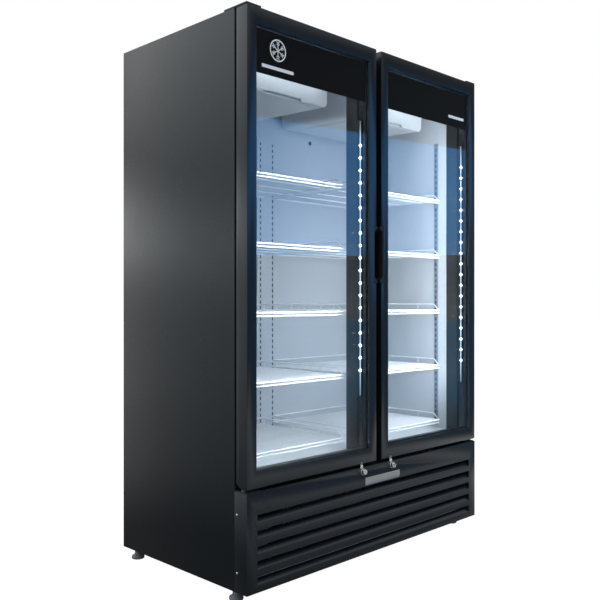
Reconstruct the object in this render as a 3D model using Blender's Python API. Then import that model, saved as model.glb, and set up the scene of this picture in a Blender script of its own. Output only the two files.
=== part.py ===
"""Two-door glass merchandiser: an upright refrigerator with a louvred base. Metres, +Z up, front to -Y."""

import math

import bmesh
import bpy
from mathutils import Matrix, Vector

# Driving dimensions of the cabinet
WIDTH = 1.372
DEPTH = 0.743
CABINET_HEIGHT = 1.957
FOOT_HEIGHT = 0.045
BASE_HEIGHT = 0.337
BASE_FLANGE = 0.030
WALL = 0.045
DOOR_THICKNESS = 0.055
SEAL_GAP = 0.008
LOCK_REACH = 0.014
SHEET = 0.0015
GAP = 0.0003

# Places worked out from them
SIDE = WIDTH / 2
FRONT = -(DEPTH - LOCK_REACH) / 2
REAR = FRONT + DEPTH
TOP = FOOT_HEIGHT + CABINET_HEIGHT
BASE_TOP = FOOT_HEIGHT + BASE_HEIGHT
BODY_FRONT = FRONT + DOOR_THICKNESS + SEAL_GAP
INNER_SIDE = SIDE - WALL
INNER_REAR = FRONT + 0.665
FLOOR = FOOT_HEIGHT + 0.384
CEILING = FOOT_HEIGHT + 1.900
LINER = 0.0012
BREAKER_REAR = BODY_FRONT + 0.060
SHEET_INSIDE = SIDE - SHEET - GAP

# Doors
DOOR_INSET = 0.0017
DOORWAY_GAP = 0.0316
DOOR_BOTTOM = FOOT_HEIGHT + 0.351
DOOR_TOP = TOP - 0.0005
DOOR_OUTER = SIDE - DOOR_INSET
DOOR_INNER = DOORWAY_GAP / 2
STILE = 0.042
TOP_RAIL = 0.054
BOTTOM_RAIL = 0.052
HINGE_INSET = 0.016
HINGE_Y = FRONT + DOOR_THICKNESS / 2
HINGE_X = SIDE - HINGE_INSET
PIN_RADIUS = 0.004
CORNER_CUT_DEPTH = 0.016
CORNER_CUT_HEIGHT = 0.015
CORNER_CUT_WIDTH = 0.015
FOOT_PLATE = 0.003
PANE_RECESS = 0.008
OUTER_PANE = 0.005
INNER_PANE = 0.004
PANE_SPACE = 0.014
GASKET_WIDTH = 0.018
GRIP_LOW = FOOT_HEIGHT + 1.043
GRIP_HIGH = FOOT_HEIGHT + 1.266
GRIP_WIDTH = 0.014
GRIP_DEPTH = 0.040

# Feet
STUD_RADIUS = 0.005

# Locks. Both sit a little left of their mirrored places, and each tab hangs left of its barrel.
LOCK_SPREAD = 0.0888
LOCK_SHIFT = -0.0073
TAB_SHIFT = -0.0108
LOCK_Z = FOOT_HEIGHT + 0.320
LOCK_RADIUS = 0.011

# Shelves
SHELF_LEVELS = 5
SHELF_FIRST = FOOT_HEIGHT + 0.425
SHELF_PITCH = 0.254
SHELF_INNER = SIDE - 0.650
SHELF_OUTER = SIDE - 0.054
SHELF_FRONT = FRONT + 0.152
SHELF_REAR = FRONT + 0.648
WIRE = 0.005
SHELF_LIP = 0.018
GUARD_HEIGHT = 0.028

SCENE = bpy.context.scene

# Turns from +Z to +X, -Y and +Z
TURNS = {
    "X": Matrix.Rotation(math.pi / 2, 3, "Y"),
    "Y": Matrix.Rotation(math.pi / 2, 3, "X"),
    "Z": Matrix.Identity(3),
}


# Shapes


def new_mesh(shape):
    mesh = bpy.data.meshes.new("shape")
    bmesh.ops.recalc_face_normals(shape, faces=shape.faces)
    shape.to_mesh(mesh)
    shape.free()
    return mesh


def block(low, high):
    """A box between two opposite corners."""
    low, high = Vector(low), Vector(high)
    shape = bmesh.new()
    bmesh.ops.create_cube(shape, size=1.0)
    bmesh.ops.scale(shape, vec=high - low, verts=shape.verts)
    bmesh.ops.translate(shape, vec=(low + high) / 2, verts=shape.verts)
    return new_mesh(shape)


def prism(outline, axis, start, end):
    """An outline of two coordinates, drawn across the axis, extruded along it."""
    places = {
        "X": lambda a, b: (start, a, b),
        "Y": lambda a, b: (a, start, b),
        "Z": lambda a, b: (a, b, start),
    }
    shape = bmesh.new()
    face = shape.faces.new([shape.verts.new(places[axis](a, b)) for a, b in outline])
    grown = bmesh.ops.extrude_face_region(shape, geom=[face])
    along = Vector((axis == "X", axis == "Y", axis == "Z")) * (end - start)
    moved = [item for item in grown["geom"] if isinstance(item, bmesh.types.BMVert)]
    bmesh.ops.translate(shape, vec=along, verts=moved)
    return new_mesh(shape)


def turned(profile, centre, axis="Z", steps=20):
    """A profile of (radius, height) points, closed at both ends on the axis and spun about it."""
    shape = bmesh.new()
    ring = [shape.verts.new((radius, 0.0, height)) for radius, height in profile]
    edges = [shape.edges.new(pair) for pair in zip(ring, ring[1:])]
    bmesh.ops.spin(
        shape,
        geom=ring + edges,
        cent=(0.0, 0.0, 0.0),
        axis=(0.0, 0.0, 1.0),
        angle=math.tau,
        steps=steps,
        use_merge=True,
    )
    bmesh.ops.remove_doubles(shape, verts=shape.verts, dist=1e-6)
    bmesh.ops.rotate(shape, matrix=TURNS[axis], verts=shape.verts)
    bmesh.ops.translate(shape, vec=centre, verts=shape.verts)
    return new_mesh(shape)


def rod(centre, radius, length, axis="Z", steps=16):
    """A plain cylinder that starts at the centre and runs along the axis."""
    profile = [(0.0, 0.0), (radius, 0.0), (radius, length), (0.0, length)]
    return turned(profile, centre, axis, steps)


def tub(low, high, inner_low, inner_high):
    """A five-sided box, open towards -Y, where the inner and outer corners share the open end's plane."""
    shape = bmesh.new()

    def corners(a, b):
        return [shape.verts.new((x, y, z)) for y in (a[1], b[1]) for z in (a[2], b[2]) for x in (a[0], b[0])]

    outer = corners(low, high)
    inner = corners((inner_low[0], low[1], inner_low[2]), inner_high)
    walls = [(0, 1, 5, 4), (2, 3, 7, 6), (0, 2, 6, 4), (1, 3, 7, 5), (4, 5, 7, 6)]
    for skin in (outer, inner):
        for wall in walls:
            shape.faces.new([skin[i] for i in wall])
    for a, b in ((0, 1), (1, 3), (3, 2), (2, 0)):
        shape.faces.new([outer[a], outer[b], inner[b], inner[a]])
    return new_mesh(shape)


def ring_frame(low, high, left, right, bottom, top):
    """A rectangular frame in the XZ plane, from four member widths."""
    hole = block(
        (low[0] + left, low[1] - 0.01, low[2] + bottom),
        (high[0] - right, high[1] + 0.01, high[2] - top),
    )
    return combined(block(low, high), [hole], "DIFFERENCE")


def combined(mesh, tools, operation):
    """The mesh joined with or cut by the tools, as one new mesh."""
    body = bpy.data.objects.new("body", mesh)
    helpers = [body]
    SCENE.collection.objects.link(body)
    for tool in tools:
        helper = bpy.data.objects.new("helper", tool)
        SCENE.collection.objects.link(helper)
        helpers.append(helper)
        step = body.modifiers.new("step", "BOOLEAN")
        step.operation = operation
        step.object = helper
    graph = bpy.context.evaluated_depsgraph_get()
    result = bpy.data.meshes.new_from_object(body.evaluated_get(graph))
    for helper in helpers:
        bpy.data.objects.remove(helper)
    return result


def mirrored(mesh):
    """The same mesh on the other side of the cabinet's middle plane."""
    shape = bmesh.new()
    shape.from_mesh(mesh)
    bmesh.ops.scale(shape, vec=(-1.0, 1.0, 1.0), verts=shape.verts)
    bmesh.ops.reverse_faces(shape, faces=shape.faces)
    return new_mesh(shape)


# Objects


def material(name, colour, roughness, metallic=0.0, alpha=1.0):
    made = bpy.data.materials.get(name)
    if made is None:
        made = bpy.data.materials.new(name)
        made.use_nodes = True
        shader = made.node_tree.nodes["Principled BSDF"]
        shader.inputs["Base Color"].default_value = (*colour, 1.0)
        shader.inputs["Roughness"].default_value = roughness
        shader.inputs["Metallic"].default_value = metallic
        shader.inputs["Alpha"].default_value = alpha
    return made


def node(name, mesh, surface, origin=(0.0, 0.0, 0.0), parent=None, smooth=False):
    """One named sub-part. The mesh is given in place, and its origin is put where it turns or slides."""
    mesh.name = name
    mesh.transform(Matrix.Translation(-Vector(origin)))
    mesh.materials.clear()
    mesh.materials.append(surface)
    if smooth:
        mesh.shade_smooth()
        mesh.set_sharp_from_angle(angle=math.radians(35))
    made = bpy.data.objects.new(name, mesh)
    SCENE.collection.objects.link(made)
    made.location = Vector(origin)
    if parent is not None:
        made.parent = parent
        made.location = Vector(origin) - parent.location
    return made


def pivot(name, place):
    made = bpy.data.objects.new(name, None)
    made.empty_display_size = 0.05
    made.location = place
    SCENE.collection.objects.link(made)
    return made


def both_sides(side):
    return "left" if side < 0 else "right"


def lock_x(side):
    return side * LOCK_SPREAD + LOCK_SHIFT


def sided(mesh, side):
    """A mesh drawn for the right side (+X), as that side needs it."""
    return mesh if side > 0 else mirrored(mesh)


def black_steel():
    return material("black_steel", (0.020, 0.022, 0.025), 0.38)


def black_plastic():
    return material("black_plastic", (0.012, 0.013, 0.015), 0.5)


def white_liner():
    return material("white_liner", (0.80, 0.83, 0.86), 0.45)


def zinc():
    return material("zinc_steel", (0.42, 0.43, 0.44), 0.4, 1.0)


def chrome():
    return material("chrome", (0.75, 0.76, 0.78), 0.12, 1.0)


def aluminium():
    return material("aluminium", (0.70, 0.71, 0.72), 0.35, 1.0)


def clear_glass():
    return material("clear_glass", (0.80, 0.88, 0.90), 0.03, 0.0, 0.2)


# Cabinet: a foamed box of sheet steel with a plastic breaker frame round its mouth


def build_outer_panels():
    for side in (-1, 1):
        panel = block((SIDE - SHEET, BODY_FRONT, FOOT_HEIGHT), (SIDE, REAR, TOP))
        node(f"side_panel_{both_sides(side)}", sided(panel, side), black_steel())
    top = block((-SHEET_INSIDE, BODY_FRONT, TOP - SHEET), (SHEET_INSIDE, REAR, TOP))
    node("top_panel", top, black_steel())
    rear_low = FOOT_HEIGHT + BASE_FLANGE + GAP
    rear = block((-SHEET_INSIDE, REAR - SHEET, rear_low), (SHEET_INSIDE, REAR, TOP - SHEET - GAP))
    vent_half, vent_height, vent_pitch = 0.130, 0.008, 0.020
    vents = []
    for row in range(6):
        low = BASE_TOP - 0.040 - row * vent_pitch
        for middle in (-0.40, 0.0, 0.40):
            vent = block(
                (middle - vent_half, REAR - 0.01, low),
                (middle + vent_half, REAR + 0.01, low + vent_height),
            )
            vents.append(vent)
    node("rear_panel", combined(rear, vents, "DIFFERENCE"), zinc())


def build_insulated_box():
    skin = LINER + GAP
    foam = tub(
        (-SHEET_INSIDE, BREAKER_REAR + GAP, BASE_TOP),
        (SHEET_INSIDE, REAR - SHEET - GAP, TOP - SHEET - GAP),
        (-INNER_SIDE - skin, BREAKER_REAR + GAP, FLOOR - skin),
        (INNER_SIDE + skin, INNER_REAR + skin, CEILING + skin),
    )
    node("insulation", foam, material("foam", (0.75, 0.66, 0.42), 0.9))
    liner = tub(
        (-INNER_SIDE - LINER, BREAKER_REAR + GAP, FLOOR - LINER),
        (INNER_SIDE + LINER, INNER_REAR + LINER, CEILING + LINER),
        (-INNER_SIDE, BREAKER_REAR + GAP, FLOOR),
        (INNER_SIDE, INNER_REAR, CEILING),
    )
    node("inner_liner", liner, white_liner())
    face_bottom = BASE_TOP + 0.008
    face_top = TOP - SHEET - GAP
    edge = SHEET_INSIDE - INNER_SIDE
    face = ring_frame(
        (-SHEET_INSIDE, BODY_FRONT, face_bottom),
        (SHEET_INSIDE, BREAKER_REAR, face_top),
        edge,
        edge,
        FLOOR - face_bottom,
        face_top - CEILING,
    )
    node("face_frame", face, black_plastic())


def build_mullion():
    half = 0.055
    post = block((-half, BODY_FRONT, FLOOR + GAP), (half, BREAKER_REAR, CEILING - GAP))
    node("center_mullion", post, black_plastic())


def build_pilasters():
    """Slotted steel strips that carry the shelves, on both side walls and up the middle of the back wall."""
    thick = 0.006
    wide = 0.020
    low = FLOOR + 0.020
    high = FOOT_HEIGHT + 1.705
    wall = INNER_SIDE - GAP
    for side in (-1, 1):
        for place, y in (("front", FRONT + 0.167), ("rear", FRONT + 0.605)):
            strip = block((wall - thick, y, low), (wall, y + wide, high))
            node(f"pilaster_{both_sides(side)}_{place}", sided(strip, side), white_liner())
    half = 0.056
    middle = block((-half, INNER_REAR - 0.014, FLOOR + GAP), (half, INNER_REAR - GAP, high))
    node("pilaster_rear_center", middle, white_liner())


# Shelves: wire decks with a doubled front edge and a raised guard round the other three sides


def shelf_mesh():
    """One right-hand shelf at deck height 0, drawn as a thin deck with its front lip and guards."""
    step = 0.0006
    deck = block((SHELF_INNER, SHELF_FRONT, -WIRE), (SHELF_OUTER, SHELF_REAR, 0.0))
    lip = block(
        (SHELF_INNER + step, SHELF_FRONT + step, -SHELF_LIP),
        (SHELF_OUTER - step, SHELF_FRONT + WIRE, -WIRE / 2),
    )
    front, rear = SHELF_FRONT + WIRE, SHELF_REAR - step
    outline = [
        (front, -WIRE / 2),
        (front + GUARD_HEIGHT, GUARD_HEIGHT),
        (rear, GUARD_HEIGHT),
        (rear, -WIRE / 2),
    ]
    inner_guard = prism(outline, "X", SHELF_INNER + step, SHELF_INNER + WIRE)
    outer_guard = prism(outline, "X", SHELF_OUTER - WIRE, SHELF_OUTER - step)
    rear_guard = block(
        (SHELF_INNER + 2 * step, SHELF_REAR - WIRE, -WIRE / 2 + step),
        (SHELF_OUTER - 2 * step, rear - step, GUARD_HEIGHT - step),
    )
    return combined(deck, [lip, inner_guard, outer_guard, rear_guard], "UNION")


def build_shelves():
    surface = material("white_wire", (0.85, 0.88, 0.90), 0.35)
    for side in (-1, 1):
        mesh = sided(shelf_mesh(), side)
        for level in range(SHELF_LEVELS):
            shelf = node(f"shelf_{both_sides(side)}_{level + 1}", mesh, surface)
            shelf.location.z = SHELF_FIRST + level * SHELF_PITCH


# Refrigeration


def fan_blades(centre, axis, hub, reach, depth, count):
    """A fan rotor: a hub with flat pitched blades, joined into one body."""
    blades = []
    for index in range(count):
        shape = bmesh.new()
        bmesh.ops.create_cube(shape, size=1.0)
        span = reach - hub * 0.6
        bmesh.ops.scale(shape, vec=(span, reach * 0.55, 0.002), verts=shape.verts)
        bmesh.ops.rotate(shape, matrix=Matrix.Rotation(math.radians(24), 3, "X"), verts=shape.verts)
        bmesh.ops.translate(shape, vec=(hub * 0.6 + span / 2, 0.0, depth / 2), verts=shape.verts)
        turn = Matrix.Rotation(math.tau * index / count, 3, "Z")
        bmesh.ops.rotate(shape, matrix=turn, verts=shape.verts)
        bmesh.ops.rotate(shape, matrix=TURNS[axis], verts=shape.verts)
        bmesh.ops.translate(shape, vec=centre, verts=shape.verts)
        blades.append(new_mesh(shape))
    return combined(rod(centre, hub, depth, axis, 20), blades, "UNION")


def cover_mesh(left, right, front, rear, low, high, round_off, rise):
    """A solid with rounded lower edges along its depth, whose underside rises towards the back."""
    quarter = [math.radians(18 * step) for step in range(1, 6)]
    outline = [(left, high), (left, low + round_off)]
    curve = [(round_off * (1 - math.cos(a)), low + round_off * (1 - math.sin(a))) for a in quarter]
    outline += [(left + inward, z) for inward, z in curve]
    outline += [(right - inward, z) for inward, z in curve[::-1]]
    outline += [(right, low + round_off), (right, high)]
    mesh = prism(outline, "Y", front, rear)
    for vertex in mesh.vertices:
        if vertex.co.y > (front + rear) / 2 and vertex.co.z < (low + high) / 2:
            vertex.co.z += rise
    return mesh


def build_evaporators():
    """Under the ceiling on each side hang a housing, a coil and a fan.

    The fan draws air in through the housing's outer end, and it leaves by an opening in the rear.
    """
    inner, outer = SIDE - 0.603, SIDE - 0.133
    front, rear = FRONT + 0.200, FRONT + 0.640
    low, high = FOOT_HEIGHT + 1.750, CEILING - GAP
    wall, round_off, rise = 0.002, 0.024, 0.012
    notch_half, notch_shift, notch_height, notch_depth = 0.100, -0.014, 0.010, 0.0075
    fan_y, fan_z = FRONT + 0.320, low + 0.082
    inlet = 0.055
    for side in (-1, 1):
        name = both_sides(side)
        hollow = cover_mesh(
            inner + wall, outer - wall, front + wall, rear - wall, low + wall, high + 0.01, round_off - wall, rise
        )
        cuts = [
            hollow,
            rod((outer - 0.02, fan_y, fan_z), inlet, 0.04, "X", 24),
            block((inner + 0.04, rear - 0.01, low + 0.04), (outer - 0.04, rear + 0.01, high - 0.02)),
        ]
        whole = cover_mesh(inner, outer, front, rear, low, high, round_off, rise)
        cover = combined(whole, cuts, "DIFFERENCE")
        middle = side * (inner + outer) / 2 + notch_shift
        notch = block(
            (middle - notch_half, front - 0.01, low - 0.01),
            (middle + notch_half, front + notch_depth, low + notch_height),
        )
        backing = block(
            (middle - notch_half - 0.003, front + notch_depth, low + 0.0008),
            (middle + notch_half + 0.003, front + notch_depth + wall, low + notch_height + 0.004),
        )
        cover = combined(combined(sided(cover, side), [notch], "DIFFERENCE"), [backing], "UNION")
        node(f"evaporator_housing_{name}", cover, white_liner())
        coil = block((inner + 0.02, FRONT + 0.440, low + 0.020), (outer - 0.02, FRONT + 0.620, high - 0.01))
        node(f"evaporator_coil_{name}", sided(coil, side), aluminium())
        place = (outer - 0.034 if side > 0 else 0.008 - outer, fan_y, fan_z)
        rotor = fan_blades(place, "X", 0.018, inlet - 0.005, 0.026, 4)
        node(f"evaporator_fan_{name}", rotor, black_plastic(), place)


def build_machine_base():
    """The compartment under the foamed box, with the condensing unit on its pan."""
    plate = 0.002
    flange = BASE_FLANGE
    front, rear = BODY_FRONT + GAP, REAR - GAP
    low = FOOT_HEIGHT
    outline = [
        (front, low),
        (rear, low),
        (rear, low + flange),
        (rear - plate, low + flange),
        (rear - plate, low + plate),
        (front + plate, low + plate),
        (front + plate, low + flange),
        (front, low + flange),
    ]
    holes = [rod((x, y, low - 0.01), STUD_RADIUS + 0.0015, 0.03) for x, y in foot_places()]
    pan = combined(prism(outline, "X", -SHEET_INSIDE, SHEET_INSIDE), holes, "DIFFERENCE")
    node("base_pan", pan, zinc())
    floor = low + plate + GAP
    shell = [(0.0, 0.0), (0.100, 0.0), (0.100, 0.006), (0.080, 0.010), (0.094, 0.030), (0.097, 0.110)]
    dome = [math.radians(angle) for angle in (0, 25, 50, 70)]
    shell += [(0.097 * math.cos(a), 0.120 + 0.075 * math.sin(a)) for a in dome]
    shell += [(0.0, 0.195)]
    compressor = turned(shell, (0.330, FRONT + 0.470, floor), "Z", 24)
    node("compressor", compressor, black_steel(), smooth=True)
    coil = block((-0.380, FRONT + 0.110, floor), (0.080, FRONT + 0.170, floor + 0.270))
    node("condenser_coil", coil, aluminium())
    fan_x, fan_z = -0.150, floor + 0.135
    shroud_front = FRONT + 0.170 + GAP
    plate_rear = shroud_front + 0.040
    opening = 0.118
    shroud = combined(
        block((-0.380, shroud_front, floor), (0.080, plate_rear, floor + 0.270)),
        [
            block((-0.378, shroud_front - 0.01, floor + 0.002), (0.078, plate_rear - 0.002, floor + 0.268)),
            rod((fan_x, plate_rear + 0.02, fan_z), opening, 0.04, "Y", 28),
        ],
        "DIFFERENCE",
    )
    node("condenser_shroud", shroud, black_steel())
    place = (fan_x, plate_rear + 0.012, fan_z)
    rotor = fan_blades(place, "Y", 0.030, opening - 0.008, 0.030, 5)
    node("condenser_fan", rotor, aluminium(), place)
    box = block((-0.640, FRONT + 0.140, floor), (-0.460, FRONT + 0.360, floor + 0.160))
    node("control_box", box, zinc())


# Levelling feet


def foot_places():
    return [(x, y) for x in (-SIDE + 0.040, SIDE - 0.040) for y in (FRONT + 0.100, FRONT + 0.700)]


def build_feet():
    profile = [
        (0.0, 0.0),
        (0.024, 0.0),
        (0.025, 0.003),
        (0.025, 0.010),
        (0.013, 0.018),
        (0.013, 0.028),
        (STUD_RADIUS, 0.028),
        (STUD_RADIUS, 0.085),
        (0.0, 0.085),
    ]
    for (x, y), name in zip(foot_places(), ("left_front", "left_rear", "right_front", "right_rear")):
        foot = turned(profile, (x, y, 0.0), "Z", 18)
        grey_plastic = material("grey_plastic", (0.10, 0.10, 0.11), 0.5)
        node(f"foot_{name}", foot, grey_plastic, (x, y, 0.0), smooth=True)


# Louvred base front


def build_front_grille():
    """A folded steel plate: five long slots with a blade behind each, side returns and a top flange."""
    sheet = 0.002
    slot_count, slot_pitch, slot_height = 5, 0.0515, 0.0295
    first_slot = FOOT_HEIGHT + 0.0395
    slot_side = SIDE - 0.048
    returns_end = BODY_FRONT - GAP
    plate = block((-SIDE, FRONT, FOOT_HEIGHT), (SIDE, FRONT + sheet, BASE_TOP))
    slots = []
    pieces = []
    for index in range(slot_count):
        middle = first_slot + index * slot_pitch
        low, high = middle - slot_height / 2, middle + slot_height / 2
        slots.append(block((-slot_side, FRONT - 0.01, low), (slot_side, FRONT + 0.01, high)))
        blade = [
            (FRONT + sheet / 2, low - 0.0005),
            (FRONT + sheet / 2, low - 0.003),
            (FRONT + 0.017, low + 0.017),
            (FRONT + 0.017, low + 0.0195),
        ]
        pieces.append(prism(blade, "X", -slot_side - 0.004, slot_side + 0.004))
    bore = LOCK_RADIUS + 0.0006
    lock_holes = [rod((lock_x(side), FRONT + 0.02, LOCK_Z), bore, 0.04, "Y", 24) for side in (-1, 1)]
    for side in (-1, 1):
        pieces.append(sided(block((SIDE - sheet, FRONT, FOOT_HEIGHT), (SIDE, returns_end, BASE_TOP)), side))
    pieces.append(block((-SIDE, FRONT, BASE_TOP - sheet), (SIDE, returns_end - 0.010, BASE_TOP)))
    front = combined(plate, slots + lock_holes, "DIFFERENCE")
    node("front_grille", combined(front, pieces, "UNION"), black_steel())


# Locks in the base's top band, each with a cam that turns up behind the door's tab


def build_locks():
    for side in (-1, 1):
        place = (lock_x(side), FRONT, LOCK_Z)
        profile = [
            (0.0, -0.020),
            (LOCK_RADIUS - 0.002, -0.020),
            (LOCK_RADIUS, -0.018),
            (LOCK_RADIUS, LOCK_REACH - 0.002),
            (LOCK_RADIUS - 0.002, LOCK_REACH),
            (0.0, LOCK_REACH),
        ]
        barrel = turned(profile, place, "Y", 24)
        keyway = block(
            (place[0] - 0.0012, FRONT - LOCK_REACH - 0.01, LOCK_Z - 0.004),
            (place[0] + 0.0012, FRONT - LOCK_REACH + 0.004, LOCK_Z + 0.004),
        )
        node(f"lock_barrel_{both_sides(side)}", combined(barrel, [keyway], "DIFFERENCE"), chrome(), place)


# Hinges


def build_hinges():
    plate_low = TOP + GAP
    thick = 0.0057
    arm_rear = FRONT + 0.118
    drop = 0.016
    lower_low = BASE_TOP + GAP
    lower_high = lower_low + 0.003
    collar_top = DOOR_BOTTOM - FOOT_PLATE - GAP
    for side in (-1, 1):
        name = both_sides(side)
        plate = block((SIDE - 0.065, FRONT + 0.001, plate_low), (SIDE, arm_rear, plate_low + thick))
        pin = rod((HINGE_X, HINGE_Y, plate_low - drop), PIN_RADIUS, drop + 0.002)
        node(f"top_hinge_{name}", sided(combined(plate, [pin], "UNION"), side), black_steel())
        lower = block((SIDE - 0.065, FRONT + 0.006, lower_low), (SIDE - 0.002, BODY_FRONT - GAP, lower_high))
        collar = rod((HINGE_X, HINGE_Y, lower_high - 0.002), 0.0125, collar_top - lower_high + 0.002, "Z", 24)
        lower_pin = rod((HINGE_X, HINGE_Y, lower_high - 0.002), PIN_RADIUS, drop + 0.010)
        bracket = combined(lower, [collar, lower_pin], "UNION")
        node(f"bottom_hinge_{name}", sided(bracket, side), black_steel())


# Doors: a black frame round a double pane, with a magnetic gasket, a lit strip and a lock tab


def door_frame_mesh():
    """The right door's frame: its hinge plate, two pin bores, the grip's pocket and a cut rear corner."""
    rear = FRONT + DOOR_THICKNESS
    frame = ring_frame(
        (DOOR_INNER, FRONT, DOOR_BOTTOM),
        (DOOR_OUTER, rear, DOOR_TOP),
        STILE,
        STILE,
        BOTTOM_RAIL,
        TOP_RAIL,
    )
    foot_plate = block(
        (DOOR_OUTER - 0.088, FRONT + 0.003, DOOR_BOTTOM - FOOT_PLATE),
        (DOOR_OUTER - 0.004, FRONT + 0.050, DOOR_BOTTOM + 0.001),
    )
    bore_ends = (DOOR_TOP - 0.020, DOOR_BOTTOM - 0.010)
    bores = [rod((HINGE_X, HINGE_Y, z), PIN_RADIUS + 0.0006, 0.030) for z in bore_ends]
    pocket = block(
        (DOOR_INNER - 0.01, FRONT - 0.01, GRIP_LOW),
        (DOOR_INNER + GRIP_WIDTH, FRONT + GRIP_DEPTH, GRIP_HIGH),
    )
    slant = [
        (rear - 2 * CORNER_CUT_DEPTH, DOOR_BOTTOM - CORNER_CUT_HEIGHT),
        (rear + CORNER_CUT_DEPTH, DOOR_BOTTOM - CORNER_CUT_HEIGHT),
        (rear + CORNER_CUT_DEPTH, DOOR_BOTTOM + 2 * CORNER_CUT_HEIGHT),
    ]
    corner = prism(slant, "X", DOOR_OUTER - CORNER_CUT_WIDTH, DOOR_OUTER + 0.01)
    return combined(combined(frame, [foot_plate], "UNION"), bores + [pocket, corner], "DIFFERENCE")


def grip_mesh():
    """The right door's finger grip: a lining for its pocket, with a lip above and below the fingers."""
    lip = 0.006
    low, high = GRIP_LOW + GAP, GRIP_HIGH - GAP
    body = block(
        (DOOR_INNER - lip, FRONT, low),
        (DOOR_INNER + GRIP_WIDTH - GAP, FRONT + GRIP_DEPTH - GAP, high),
    )
    inset, slope, reach = 0.024, 0.010, 0.009
    scoop = [
        (DOOR_INNER - 0.02, low + inset - slope),
        (DOOR_INNER, low + inset - slope),
        (DOOR_INNER + reach, low + inset),
        (DOOR_INNER + reach, high - inset),
        (DOOR_INNER, high - inset + slope),
        (DOOR_INNER - 0.02, high - inset + slope),
    ]
    return combined(body, [prism(scoop, "Y", FRONT - 0.01, FRONT + GRIP_DEPTH + 0.01)], "DIFFERENCE")


def build_door(side):
    name = both_sides(side)
    hinge = pivot(f"{name}_door_hinge", (side * HINGE_X, HINGE_Y, DOOR_BOTTOM))

    def fit(suffix, mesh, surface):
        node(f"{name}_door_{suffix}", sided(mesh, side), surface, hinge.location, hinge)

    left, right = DOOR_INNER + STILE + GAP, DOOR_OUTER - STILE - GAP
    low, high = DOOR_BOTTOM + BOTTOM_RAIL + GAP, DOOR_TOP - TOP_RAIL - GAP
    outer_front = FRONT + PANE_RECESS
    inner_front = outer_front + OUTER_PANE + PANE_SPACE
    fit("frame", door_frame_mesh(), black_steel())
    fit("outer_pane", block((left, outer_front, low), (right, outer_front + OUTER_PANE, high)), clear_glass())
    fit("inner_pane", block((left, inner_front, low), (right, inner_front + INNER_PANE, high)), clear_glass())
    seal = ring_frame(
        (DOOR_INNER + 0.002, FRONT + DOOR_THICKNESS + GAP, DOOR_BOTTOM + 0.008),
        (SIDE - HINGE_INSET - 0.002, BODY_FRONT - GAP, DOOR_TOP - 0.022),
        GASKET_WIDTH,
        GASKET_WIDTH,
        GASKET_WIDTH,
        GASKET_WIDTH,
    )
    fit("gasket", seal, material("black_rubber", (0.010, 0.010, 0.011), 0.7))
    fit("grip", grip_mesh(), black_plastic())
    tab_x, tab_low, tab_high = lock_x(side) + TAB_SHIFT, FOOT_HEIGHT + 0.3335, FOOT_HEIGHT + 0.358
    outline = [
        (tab_x - 0.008, tab_low),
        (tab_x + 0.008, tab_low),
        (tab_x + 0.0045, tab_high),
        (tab_x - 0.0045, tab_high),
    ]
    tab = prism(outline, "Y", FRONT - GAP - 0.003, FRONT - GAP)
    node(f"{name}_door_lock_tab", tab, chrome(), hinge.location, hinge)
    strip_x = DOOR_OUTER - STILE - GAP if side > 0 else DOOR_INNER + STILE + GAP + 0.012
    strip = block(
        (strip_x - 0.012, FRONT + 0.036, FOOT_HEIGHT + 0.600),
        (strip_x, FRONT + 0.054, FOOT_HEIGHT + 1.680),
    )
    fit("light_strip", strip, material("light_strip", (0.85, 0.88, 0.92), 0.4))


def main():
    for old in list(bpy.data.objects):
        bpy.data.objects.remove(old)
    build_outer_panels()
    build_insulated_box()
    build_mullion()
    build_pilasters()
    build_shelves()
    build_evaporators()
    build_machine_base()
    build_feet()
    build_front_grille()
    build_locks()
    build_hinges()
    for side in (-1, 1):
        build_door(side)


main()
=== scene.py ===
"""The looks of an upright two-door glass merchandiser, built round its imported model."""

import math

import bmesh
import bpy
from mathutils import Euler, Matrix, Vector


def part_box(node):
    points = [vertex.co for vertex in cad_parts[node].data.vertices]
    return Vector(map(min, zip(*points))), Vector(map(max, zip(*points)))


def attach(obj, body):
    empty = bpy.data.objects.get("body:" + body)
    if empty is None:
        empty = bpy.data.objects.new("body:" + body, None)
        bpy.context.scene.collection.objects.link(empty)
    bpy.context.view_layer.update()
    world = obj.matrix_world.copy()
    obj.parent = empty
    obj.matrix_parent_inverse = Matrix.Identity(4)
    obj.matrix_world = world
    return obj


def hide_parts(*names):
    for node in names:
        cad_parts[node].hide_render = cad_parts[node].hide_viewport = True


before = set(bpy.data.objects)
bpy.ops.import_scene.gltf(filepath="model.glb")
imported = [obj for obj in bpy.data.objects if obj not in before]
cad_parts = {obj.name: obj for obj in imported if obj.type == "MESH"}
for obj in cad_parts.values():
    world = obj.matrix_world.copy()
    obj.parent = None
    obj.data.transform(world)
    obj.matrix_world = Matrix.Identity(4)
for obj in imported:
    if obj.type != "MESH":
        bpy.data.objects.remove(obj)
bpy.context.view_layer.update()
scene = bpy.context.scene


# Studio. A pale floor and a white surround, as the camera sees them. The black paint and the glass
# mirror darker ones, which differ in front and at the side, with a blue card standing to the right.

camera = bpy.data.objects.new("studio_camera", bpy.data.cameras.new("studio_camera"))
camera.data.lens = 46.32
camera.data.sensor_width = 36.0
camera.location = (-2.3596, -2.2844, 1.0227)
camera.rotation_euler = (math.radians(90.0), 0.0, math.radians(-45.025))
scene.collection.objects.link(camera)
scene.camera = camera
scene.view_settings.view_transform = "Standard"


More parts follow.
